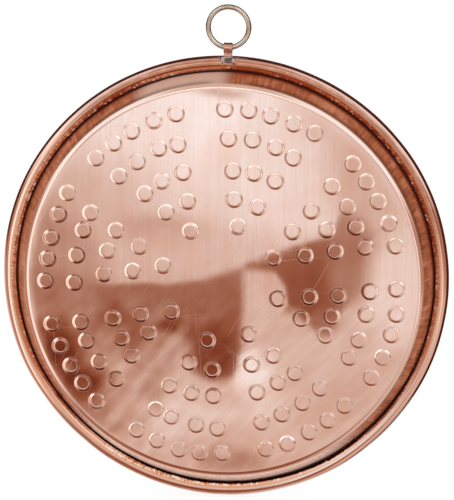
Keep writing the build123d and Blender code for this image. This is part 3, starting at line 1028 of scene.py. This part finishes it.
# the ring is very slightly out of round, and its ends meet near the bottom, under the strap
RING_STEPS = 144
turn = np.arange(RING_STEPS) * 2 * np.pi / RING_STEPS
radial = outward(turn)
centres = radial * (RING_R + 0.05 * np.cos(2 * turn + 0.6) + 0.03 * np.cos(3 * turn))[:, None]
centres[:, 1] += ROLL_Y
centres[:, 2] += EYE_Z + RING_R
ends_meet = np.exp(-(((turn - radians(278)) / 0.018) ** 2))
bar_r = RING_WIRE_R - 0.02 - 0.22 * ends_meet + 0.012 * np.cos(5 * turn + 1.0)
ring = sweep_ring("hanger_ring", centres, radial, bar_r, 28, ring_brass)
hand_over(ring, "ring", "hanging_ring")

# ----------------------------------------------------------------- hanger strap
HALF_T, HALF_W = STRAP_T / 2, STRAP_W / 2
LEG_OFF = STRAP_GAP / 2 + HALF_T             # a leg's middle line from the strap's
NECK_OFF = LEG_OFF + NECK_R
ROLL_LINE_R, EYE_LINE_R = ROLL_INNER_R + HALF_T, EYE_R + HALF_T
LOW_Z = ROLL_U + sqrt((ROLL_LINE_R + NECK_R) ** 2 - NECK_OFF**2)
HIGH_Z = EYE_Z - sqrt((EYE_LINE_R + NECK_R) ** 2 - NECK_OFF**2)
LOW_DEG = degrees(asin(NECK_OFF / (ROLL_LINE_R + NECK_R)))
HIGH_DEG = degrees(asin(NECK_OFF / (EYE_LINE_R + NECK_R)))
LEG_STEPS = 7
EDGE_R = 0.26                                # rounding of the strip's edges
HOLLOW = 0.13                                # of its outer face


def arc_path(cy, cz, radius, start, end, step):
    """Points on an arc, angles from +Z towards -Y, with the arc's outward direction."""
    n = max(2, int(abs(radians(end - start)) * radius / step) + 1)
    out = []
    for deg in np.linspace(start, end, n):
        dy, dz = -sin(radians(deg)), cos(radians(deg))
        out.append((cy + radius * dy, cz + radius * dz, dy, dz))
    return out


def tail_path(deg):
    return arc_path(ROLL_Y, ROLL_U, ROLL_LINE_R, deg, LOW_DEG, step=0.45)


def neck_path(z, start, end):
    arc = arc_path(ROLL_Y - NECK_OFF, z, NECK_R, start, end, step=0.3)
    return [(py, pz, -dy, -dz) for py, pz, dy, dz in arc]


def half_path(tail):
    """The strap's middle line on the -Y side, from its tail up to the eye."""
    return (tail_path(tail) + neck_path(LOW_Z, 180 + LOW_DEG, 270)[1:]
            + [(ROLL_Y - LEG_OFF, LOW_Z + (HIGH_Z - LOW_Z) * k / LEG_STEPS, -1.0, 0.0)
               for k in range(1, LEG_STEPS)]
            + neck_path(HIGH_Z, 270, 360 - HIGH_DEG))


def strap_path():
    """(y, z) of the middle line with the (y, z) direction of its outer face."""
    eye = arc_path(ROLL_Y, EYE_Z, EYE_LINE_R, 180 - HIGH_DEG, -(180 - HIGH_DEG), step=0.4)
    back = [(2 * ROLL_Y - py, pz, -dy, dz) for py, pz, dy, dz in reversed(half_path(BACK_TAIL))]
    return half_path(FRONT_TAIL) + eye[1:] + back[1:]


def strap_section():
    """(x, outward) round the strip: rounded edges, outer face hollowed by the bending."""
    corner = HALF_W - EDGE_R
    left = [-HALF_W + EDGE_R * (1 - cos(radians(q))) for q in (30, 60, 90)]
    right = [HALF_W - EDGE_R * (1 - cos(radians(q))) for q in (90, 60, 30)]
    out = []
    for x in np.concatenate([left, np.linspace(-HALF_W + EDGE_R, corner, 13)[1:-1], right]):
        t = abs(x) / corner
        if t >= 1:
            inset = HALF_W - abs(x)
            n = HALF_T - EDGE_R + sqrt(max(0.0, EDGE_R**2 - (EDGE_R - inset) ** 2))
        else:
            n = HALF_T - HOLLOW * (1 - t**2) ** 1.2
        out.append((x, n))
    for sign, turns in ((1, (0, 30, 60, 90)), (-1, (90, 60, 30, 0))):
        out += [(sign * (corner + EDGE_R * cos(radians(q))),
                 -(HALF_T - EDGE_R) - EDGE_R * sin(radians(q))) for q in turns]
    return np.array(out)


def make_strap():
    path, section = strap_path(), strap_section()
    n = len(section)
    tail_end = len(tail_path(FRONT_TAIL)) - 5
    pit_z, pit_r = (LOW_Z + HIGH_Z) / 2 - 0.2, 0.95
    verts = []
    for k, (py, pz, dy, dz) in enumerate(path):
        width = 1.0 - 0.02 * np.cos(k / (len(path) - 1) * 9.0)
        # the front tail lies flush with the roll and fills the notch
        flush = float(smooth(tail_end + 3, tail_end, float(k)))
        round_roll = degrees(atan2(py - ROLL_Y, pz - ROLL_U))
        for x, n_out in section:
            out = n_out
            if n_out > 0:
                bulge = (0.30 * exp(-((x - 1.9) / 0.7) ** 2)
                         * exp(-((round_roll + 121.0) / 9.0) ** 2))
                edge = max(0.0, abs(x) - HALF_W + 0.08) * 0.5
                out = (n_out * (1 - flush)
                       + (ROLL_R - ROLL_LINE_R - 0.012 - edge + bulge) * flush)
            y, z = py + dy * out, pz + dz * out
            if n_out > 0 and dy < -0.6:
                # a round pit in the front leg
                away = hypot(x * width - 0.25, z - pit_z)
                if away < pit_r:
                    y += 0.34 * (1 - (away / pit_r) ** 2)
            if n_out > 0:
                y += 0.035 * sin(z * 1.9 + x * 0.9) * -dy * (1 - flush)
            notch_width = (z * tan(radians(1.2)) - 0.015) / HALF_W
            verts.append((x * (width * 0.985 * (1 - flush) + notch_width * flush), y, z))
    faces = tube(len(path), n)[:-n]
    slots = [int(k < tail_end + 1) for k in range(len(path) - 1) for _ in range(n)]
    for k, slot in ((0, 1), (len(path) - 1, 0)):
        end = range(k * n, (k + 1) * n)
        centre = len(verts)
        verts.append(tuple(np.mean([verts[i] for i in end], 0)))
        faces += [(end[s], end[(s + 1) % n], centre) for s in range(n)]
        slots += [slot] * n
    return new_object("hanger_strip", np.array(verts), faces, [strap_copper, copper], slots)


hand_over(make_strap(), "pan", "hanger_strap")

# --------------------------------------------------------------- strap solder
# A frozen pool on the roll's shoulder: thin at its edges, lumpy, drawn up against the strap.
POOL_ALONG, POOL_ROUND = 44, 22              # steps
POOL_S = (-4.6, 5.2)         # along the rim from the strap's middle, right is +
POOL_DEG = (-84.0, -22.0)    # degrees round the roll


def pool_place(i, j):
    return (POOL_S[0] + (POOL_S[1] - POOL_S[0]) * i / POOL_ALONG,
            POOL_DEG[0] + (POOL_DEG[1] - POOL_DEG[0]) * j / POOL_ROUND)


def pool_outline(s, deg):
    """Above 0 inside the pool's outline."""
    es, eg = abs((s - 0.3) / 4.7), abs((deg + 53.0) / 30.5)
    return 1 - (es**2.4 + eg**2.6) + 0.10 * sin(s * 2.3) + 0.06 * sin(deg * 0.31)


def pool_thickness(s, deg, lumps):
    outline = pool_outline(s, deg)
    if outline <= 0:
        return 0.03
    body = np.clip(outline, 0, 1) ** 0.55
    thick = 0.10 + 0.30 * body
    for at_s, at_deg, size_s, size_deg, amp in lumps:
        thick += amp * body * exp(-((s - at_s) / size_s) ** 2 - ((deg - at_deg) / size_deg) ** 2)
    # drawn up against the foot of the strap
    thick += 0.45 * exp(-(s / 3.4) ** 4) * exp(-((deg + 33.0) / 9.0) ** 2) * body
    return max(0.03, thick)


def make_solder():
    random = np.random.default_rng(3)
    lumps = [(random.uniform(-5, 6), random.uniform(-75, -30), random.uniform(0.8, 1.8),
              random.uniform(5, 12), random.uniform(-0.12, 0.22)) for _ in range(14)]
    top, bottom = [], []
    under = ROLL_R + 0.02
    for i in range(POOL_ALONG + 1):
        for j in range(POOL_ROUND + 1):
            s, deg = pool_place(i, j)
            angle = radians(90.0) - s / ROLL_U
            for verts, r in ((bottom, under), (top, under + pool_thickness(s, deg, lumps))):
                u = ROLL_U + 0.03 + r * cos(radians(deg))
                verts.append((u * cos(angle), ROLL_Y + r * sin(radians(deg)), u * sin(angle)))
    below = len(top)
    keep = {(i, j) for i in range(POOL_ALONG) for j in range(POOL_ROUND)
            if pool_outline(*pool_place(i + 0.5, j + 0.5)) > -0.02}
    row = POOL_ROUND + 1
    # a neighbour's step and the two corners of the quad on that side
    sides = (((-1, 0), (0, 3)), ((1, 0), (1, 2)), ((0, -1), (0, 1)), ((0, 1), (3, 2)))
    faces = []
    for i, j in sorted(keep):
        q = [i * row + j, (i + 1) * row + j, (i + 1) * row + j + 1, i * row + j + 1]
        faces.append(tuple(q))
        faces.append(tuple(v + below for v in reversed(q)))
        for (di, dj), (a, b) in sides:
            if (i + di, j + dj) not in keep:
                faces.append((q[a], q[b], q[b] + below, q[a] + below))
    return new_object("solder_pool", top + bottom, faces, [solder_grey])


hand_over(make_solder(), "pan", "strap_solder")


# ------------------------------------------------------------------- the studio
def make_floor():
    """A pale floor, part diffuse and part glowing, just below the pan (metres)."""
    material = bpy.data.materials.new("studio_floor")
    material.use_nodes = True
    g = Graph(material.node_tree)
    g.nodes.remove(g.find("BSDF_PRINCIPLED"))
    diffuse = g.node("ShaderNodeBsdfDiffuse")
    g.put(diffuse.inputs["Color"], (0.93, 0.93, 0.93))
    glow = g.node("ShaderNodeEmission")
    g.put(glow.inputs["Color"], (1, 1, 1))
    glow.inputs["Strength"].default_value = 1.06
    mix = g.node("ShaderNodeMixShader")
    for socket, value in zip(mix.inputs, (0.82, diffuse.outputs[0], glow.outputs[0])):
        g.put(socket, value)
    g.put(g.find("OUTPUT_MATERIAL").inputs[0], mix.outputs[0])
    half, z = 9, -0.1412
    me = bpy.data.meshes.new("floor")
    me.from_pydata([(-half, -half, z), (half, -half, z), (half, half, z), (-half, half, z)],
                   [], [(0, 1, 2, 3)])
    me.materials.append(material)
    floor = bpy.data.objects.new("floor", me)
    scene.collection.objects.link(floor)
    floor.visible_glossy = False


make_floor()

world = bpy.data.worlds.new("studio")
scene.world = world
world.use_nodes = True
g = Graph(world.node_tree)
for node in list(g.nodes):
    g.nodes.remove(node)
dx, dy, dz = g.split(g.node("ShaderNodeTexCoord").outputs["Generated"])

# A reflector is placed by where it shows in the base: across runs right and down runs
# down on the base as seen from the camera, both at 1.6 units to the millimetre.
forward = g.maximum(g.mul(dy, -1.0), 0.02)
across = g.math("MULTIPLY_ADD", g.div(dx, forward), 1996.8, 430.5)
down = g.math("MULTIPLY_ADD", g.div(dz, forward), -1950.6, -158.6)
# a slight waver in both, from one noise each
waver_across = g.stretched(((across, 0.02), (down, 0.02), 0.0), 3.0, 0.55)
waver_down = g.stretched(((across, 0.02), (down, 0.02), 8.0), 3.0, 0.55)
across = g.add(across, g.math("MULTIPLY_ADD", waver_across, 9.0, -4.5))
down = g.add(down, g.math("MULTIPLY_ADD", waver_down, 9.0, -4.5))


def oval(cx, cy, rx, ry, turn, soft):
    """Centre, radii, turn in degrees, softness as a share of the radii."""
    c, s = cos(radians(turn)), sin(radians(turn))
    a, b = g.sub(across, cx), g.sub(down, cy)
    p = g.add(g.mul(a, c / rx), g.mul(b, s / rx))
    q = g.add(g.mul(a, -s / ry), g.mul(b, c / ry))
    return g.ramp(g.length(p, q), 1 + soft, 1 - soft)


def card(points, softs):
    """A convex card, its points clockwise as seen, with a soft width for each edge."""
    edges = []
    for k, soft in enumerate(softs):
        (x0, y0), (x1, y1) = points[k], points[(k + 1) % len(points)]
        length = hypot(x1 - x0, y1 - y0)
        nx, ny = -(y1 - y0) / length, (x1 - x0) / length
        inward = g.add(g.mul(across, nx),
                       g.math("MULTIPLY_ADD", down, ny, -(x0 * nx + y0 * ny)))
        edges.append(g.ramp(inward, -soft, soft))
    return g.mul(*edges)


def streak(x0, y0, x1, y1, half, soft):
    """A straight band between two points."""
    length = hypot(x1 - x0, y1 - y0)
    ax, ay = (x1 - x0) / length * half, (y1 - y0) / length * half
    return card([(x0 + ay, y0 - ax), (x1 + ay, y1 - ax), (x1 - ay, y1 + ax),
                 (x0 - ay, y0 + ax)], [soft, 14, soft, 14])


# Each laid over those before: shape, its arguments, tone, amount.
# Tones: 0 the darkest brown, 0.6 the mid pink, 1 the palest pink, above that white.
PATCHES = [
    # top
    (oval, (215, 130, 190, 100, 0, 0.6), 0.82, 1),
    (oval, (146, 178, 60, 52, -30, 0.7), 0.92, 0.8),
    (oval, (205, 105, 90, 70, 0, 0.7), 1.03, 1),
    (oval, (224, 96, 26, 5, 4, 0.7), 0.50, 0.8),
    (oval, (285, 185, 62, 62, 14, 0.6), 0.86, 1),
    (oval, (262, 172, 26, 34, 0, 0.7), 0.95, 0.7),
    (oval, (322, 108, 40, 30, 36, 0.7), 0.68, 0.75),
    (oval, (374, 180, 42, 62, -24, 0.5), 0.62, 1),
    (oval, (95, 215, 80, 50, 0, 0.6), 0.60, 0.8),
    (oval, (166, 234, 38, 16, 0, 0.7), 0.42, 0.85),
    (oval, (210, 248, 90, 22, 0, 0.6), 0.68, 0.7),
    (oval, (400, 285, 40, 60, 0, 0.6), 0.84, 1),
    # left side, dull
    (oval, (40, 262, 52, 56, -20, 0.5), 0.40, 0.9),
    (oval, (62, 330, 62, 62, 0, 0.4), 0.32, 0.95),
    (oval, (72, 382, 33, 54, -30, 0.45), -0.12, 0.95),
    (oval, (84, 262, 30, 18, 0, 0.6), 0.50, 0.7),
    (oval, (95, 300, 16, 26, 20, 0.6), 0.42, 0.6),
    # the broad dark band across the middle
    (card, ([(96, 287), (216, 281), (216, 340), (104, 340)], [3, 8, 16, 18]), 0.24, 0.95),
    (card, ([(196, 284), (262, 261), (262, 300), (232, 345), (196, 345)],
            [6, 12, 12, 4, 12]), 0.25, 0.95),
    (oval, (120, 330, 26, 24, -20, 0.6), 0.16, 0.8),
    (oval, (182, 327, 22, 9, 12, 0.5), 0.03, 0.85),
    (oval, (159, 316, 14, 9, 0, 0.6), 0.38, 0.7),
    (oval, (150, 304, 22, 10, 0, 0.6), 0.32, 0.6),
    (oval, (140, 345, 14, 14, 30, 0.6), 0.14, 0.6),
    # the lobe below it with a straight right edge
    (card, ([(200, 300), (245, 286), (246, 350), (237, 377), (203, 377)],
            [14, 7, 4, 4, 8]), 0.20, 1),
    (oval, (222, 303, 18, 13, 0, 0.7), 0.30, 0.7),
    (oval, (221, 352, 24, 27, 0, 0.5), 0.02, 0.95),
    # the right-hand lobe
    (card, ([(250, 263), (300, 240), (336, 231), (366, 234), (360, 298), (336, 304),
             (250, 310)], [6, 4, 10, 18, 12, 8, 4]), 0.20, 0.95),
    (card, ([(342, 204), (352, 206), (380, 226), (374, 250), (330, 250)],
            [6, 14, 18, 18, 2.0]), 0.34, 0.9),
    (card, ([(296, 297), (352, 286), (338, 326), (322, 328)], [8, 5, 5, 3]), 0.12, 0.95),
    (oval, (314, 282, 26, 24, 0, 0.6), 0.08, 0.6),
    (oval, (352, 273, 22, 22, 0, 0.7), 0.42, 0.6),
    # the pale notch between them
    (card, ([(248, 267), (280, 267), (289, 283), (292, 301), (288, 309), (264, 336),
             (248, 336)], [6, 2.0, 1.5, 2.0, 3, 10, 5]), 0.65, 1),
    # pale and dull patches low down
    (oval, (160, 360, 32, 18, -25, 0.7), 0.42, 0.85),
    (oval, (197, 385, 18, 11, 20, 0.7), 0.66, 0.8),
    (oval, (104, 350, 26, 18, -50, 0.6), 0.52, 0.75),
    (oval, (276, 390, 30, 34, -20, 0.6), 0.84, 0.8),
    (card, ([(245, 352), (262, 343), (282, 374), (264, 394), (241, 386)],
            [3, 8, 12, 12, 4]), 0.99, 0.95),
    (oval, (198, 384, 14, 7, 0, 0.6), 0.66, 0.7),
    (oval, (166, 350, 17, 9, -20, 0.6), 0.38, 0.7),
    (oval, (200, 412, 62, 22, -14, 0.6), 0.80, 0.8),
    (oval, (128, 412, 36, 26, -50, 0.6), 0.50, 0.8),
    (oval, (160, 392, 12, 8, -40, 0.6), 0.40, 0.8),
    (oval, (104, 420, 32, 15, 48, 0.6), 0.42, 0.7),
    (oval, (226, 446, 34, 8, 0, 0.6), 0.62, 0.6),
    (oval, (228, 400, 24, 8, 0, 0.6), 0.60, 0.6),
    (oval, (236, 460, 34, 14, 0, 0.6), 0.36, 0.8),
    (oval, (345, 385, 62, 62, 0, 0.7), 0.62, 0.8),
    (oval, (318, 345, 60, 14, 0, 0.6), 0.70, 0.6),
    (streak, (192, 322, 112, 432, 5, 2.5), 0.66, 0.5),
    (streak, (176, 352, 146, 392, 3, 2.0), 0.40, 0.5),
]


def pattern_tone():
    """What the flat of the base reflects."""
    tone = 0.63
    for shape, arguments, value, amount in PATCHES:
        tone = g.over(tone, value, shape(*arguments), amount)
    # clouding: upright above, slanting below, and blotches low on the left
    slanting = g.stretched(((g.add(across, down), 0.085), (g.sub(across, down), 0.011), 3.0),
                           3.0, 0.6)
    upright = g.stretched(((across, 0.06), (down, 0.012), 6.0), 2.0, 0.5)
    low = g.ramp(down, 255.0, 330.0)
    blotch = g.stretched(((across, 0.055), (down, 0.055), 11.0), 3.0, 0.6, 0.5)
    cloud = g.sub(g.over(upright, slanting, low), 0.5)
    tone = g.add(tone, g.mul(cloud, g.over(0.16, 0.42, low)))
    low_left = g.mul(g.ramp(down, 275.0, 310.0), g.ramp(across, 260.0, 200.0))
    tone = g.add(tone, g.mul(g.mul(g.sub(blotch, 0.5), 0.36), low_left))
    # paler round the edge, at the left and at the upper right
    from_middle = g.math("SQRT", g.add(g.math("POWER", g.sub(across, 224.0), 2.0),
                                       g.math("POWER", g.sub(down, 281.0), 2.0)))
    edge = g.mul(g.ramp(from_middle, 185.0, 195.0), g.ramp(across, 175.0, 100.0))
    tone = g.over(tone, 1.05, g.mul(edge, g.ramp(down, 440.0, 300.0, 0.35, 0.62)))
    upper_right = g.mul(g.ramp(across, 250.0, 290.0), g.ramp(down, 240.0, 180.0))
    edge = g.mul(g.ramp(from_middle, 184.0, 194.0), upper_right)
    return g.over(tone, 1.0, edge, amount=0.3)


def room_tone():
    """The rest of the room, by direction."""
    tone = g.ramp(g.sub(dz, g.mul(dx, 0.27)), -0.31, -0.56, 0.66, 0.10)
    cloth = g.mul(g.ramp(dx, 0.10, 0.35), g.ramp(dz, -0.16, -0.26))       # lower right
    tone = g.over(tone, 0.62, cloth)
    sides = g.maximum(g.ramp(dx, -0.30, -0.42),
                      g.mul(g.ramp(dx, 0.24, 0.36), g.ramp(dz, -0.28, -0.16)))
    tone = g.over(tone, 0.33, sides, amount=0.8)
    tone = g.over(tone, 0.50, g.ramp(dz, -0.86, -0.95))                   # the table
    beside = g.maximum(g.ramp(dx, -0.30, -0.50), g.ramp(dx, 0.12, 0.30))
    overhead = g.over(0.60, 1.06, beside)
    tone = g.over(tone, overhead, g.ramp(dz, 0.10, 0.32))
    low_right = g.mul(g.ramp(dx, 0.15, 0.45), g.ramp(dz, -0.95, -0.75))
    behind = g.mul(g.ramp(dy, -0.26, 0.0), g.maximum(g.ramp(dz, -0.22, -0.02), low_right))
    tone = g.over(tone, -0.25, behind)
    back_low = g.mul(g.ramp(dy, 0.0, 0.3), g.mul(g.ramp(dz, -0.04, -0.22), g.ramp(dx, 0.4, 0.1)))
    return g.over(tone, 0.75, back_low)


def linear(srgb):
    """sRGB 0-255 to a linear colour."""
    shares = [c / 255.0 for c in srgb]
    return [c / 12.92 if c <= 0.04045 else ((c + 0.055) / 1.055) ** 2.4 for c in shares]


GLOSS_STRENGTH = 1.6
# tone, and the sRGB colour it gives when polished copper reflects it
TONES = ((-0.3, (52, 12, 6)), (0.0, (126, 56, 33)), (0.2, (153, 87, 63)),
         (0.4, (181, 128, 107)), (0.6, (214, 172, 154)), (0.8, (235, 205, 193)),
         (1.0, (250, 229, 222)), (1.25, (268, 262, 258)))
TONE_SHIFT, TONE_SPAN = 0.3, 1.55            # bring the tones to 0..1

in_pattern = g.mul(oval(224, 279, 250, 250, 0, 0.14), g.ramp(dy, -0.3, -0.5))
tone = g.over(room_tone(), pattern_tone(), in_pattern)
stops = [((t + TONE_SHIFT) / TONE_SPAN,
          tuple(min(1.0, c / p / GLOSS_STRENGTH) for c, p in zip(linear(srgb), POLISHED)))
         for t, srgb in TONES]
reflected = g.node("ShaderNodeBackground")
g.put(reflected.inputs[0], g.colours(g.mul(g.add(tone, TONE_SHIFT), 1 / TONE_SPAN), stops))
reflected.inputs[1].default_value = GLOSS_STRENGTH
plain = g.node("ShaderNodeBackground")
g.put(plain.inputs[0], (1, 1, 1))
plain.inputs[1].default_value = 1.0
# only reflections see the pattern and the room
glossy = g.node("ShaderNodeLightPath").outputs["Is Glossy Ray"]
mix = g.node("ShaderNodeMixShader")
for socket, value in zip(mix.inputs, (glossy, plain.outputs[0], reflected.outputs[0])):
    g.put(socket, value)
g.put(g.node("ShaderNodeOutputWorld").inputs[0], mix.outputs[0])


# ---------------------------------------------------------------- lights (metres)
def place_light(data, location, aim):
    ob = bpy.data.objects.new(data.name, data)
    ob.location = location
    ob.rotation_mode = "QUATERNION"
    ob.rotation_quaternion = (Vector(aim) - Vector(location)).to_track_quat("-Z", "Y")
    scene.collection.objects.link(ob)
    ob.visible_camera = False
    return ob


def reflector(name, location, aim, size, level):
    """A small plain card near the pan, seen only as a reflection; level is its brightness."""
    data = bpy.data.lights.new(name, "AREA")
    data.shape = "RECTANGLE"
    data.size, data.size_y = size
    data.energy = level * pi * size[0] * size[1]
    data.use_shadow = False
    # it fades out towards its edges
    data.use_nodes = True
    graph = Graph(data.node_tree)
    emission = graph.find("EMISSION")
    place = graph.split(graph.node("ShaderNodeNewGeometry").outputs["Parametric"])
    fades = [graph.window(place[axis], (0.0, 0.32), (1.0, 0.68)) for axis in (0, 1)]
    graph.put(emission.inputs["Strength"], graph.mul(*fades))
    graph.put(emission.inputs["Color"], (1.0, 0.93, 0.90))
    place_light(data, location, aim).visible_diffuse = False


def softbox(name, location, power):
    """A light that never shows as a reflection, aimed at the pan."""
    data = bpy.data.lights.new(name, "AREA")
    data.energy, data.size = power, 1.6
    place_light(data, location, (0, 0, 0)).visible_glossy = False


reflector("card_top", (-0.03, -0.285, 0.200), aim=(-0.03, -0.285, -1.0),
          size=(0.36, 0.29), level=0.98)
reflector("card_left", (-0.200, -0.140, -0.03), aim=(1.0, -0.140, -0.03),
          size=(0.20, 0.40), level=1.12)
reflector("card_right", (0.200, -0.168, 0.02), aim=(-1.0, -0.168, 0.02),
          size=(0.10, 0.31), level=0.95)
softbox("softbox_key", (-1.6, -1.8, 2.2), power=10.0)
softbox("softbox_fill", (1.8, -1.2, 1.8), power=6.0)

# -------------------------------------------------------------------- camera
cam_data = bpy.data.cameras.new("camera")
cam_data.sensor_width = 36.0
cam_data.lens = 149.672
cam_data.clip_start, cam_data.clip_end = 0.05, 60.0
cam = bpy.data.objects.new("camera", cam_data)
cam_right = (0.99452637, 0.10305238, 0.01724816)
cam_up = (-0.03775606, 0.20052041, 0.97896172)
cam_back = (0.09742573, -0.97425447, 0.20331368)
cam_place = (0.12771170, -1.24967255, 0.28213521)
cam.matrix_world = Matrix([*zip(cam_right, cam_up, cam_back, cam_place), (0, 0, 0, 1)])
scene.collection.objects.link(cam)
scene.camera = cam
scene.view_settings.view_transform = "Standard"
scene.view_settings.look = "None"
